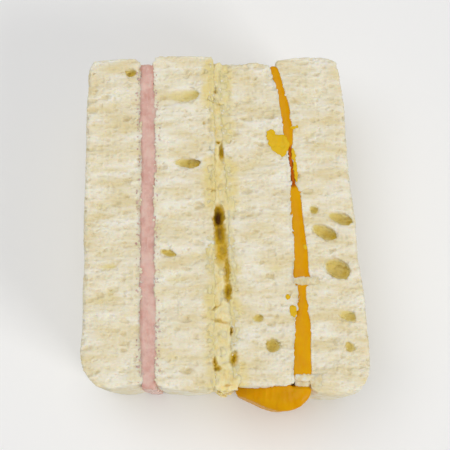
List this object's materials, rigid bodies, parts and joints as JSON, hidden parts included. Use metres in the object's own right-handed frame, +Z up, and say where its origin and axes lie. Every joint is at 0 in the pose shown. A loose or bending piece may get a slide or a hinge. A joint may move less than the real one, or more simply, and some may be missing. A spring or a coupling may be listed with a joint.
{
  "type": "finger sandwich",
  "caption": "Crustless finger sandwich of white bread layered with ham, crushed pineapple and cheese, lying with a cut face up.",
  "frame": {"origin": "middle of the underside of the whole part's bounding box", "axes": "+X across the layers from the slice beside the ham to the slice beside the cheese, +Y along the finger from the end with the cheese tongue to the other end, +Z up out of the cut face"},
  "size_m": [0.0618, 0.0778, 0.0306],
  "materials": {
    "bread": "dry open white crumb",
    "ham": "moist pink cooked ham",
    "pineapple": "wet crushed fruit",
    "cheese": "soft orange cheese"
  },
  "bodies": {
    "root": {"bread_1": "bread", "ham": "ham", "bread_2": "bread", "pineapple": "pineapple", "bread_3": "bread", "cheese": "cheese", "bread_4": "bread"}
  },
  "joints": []
}
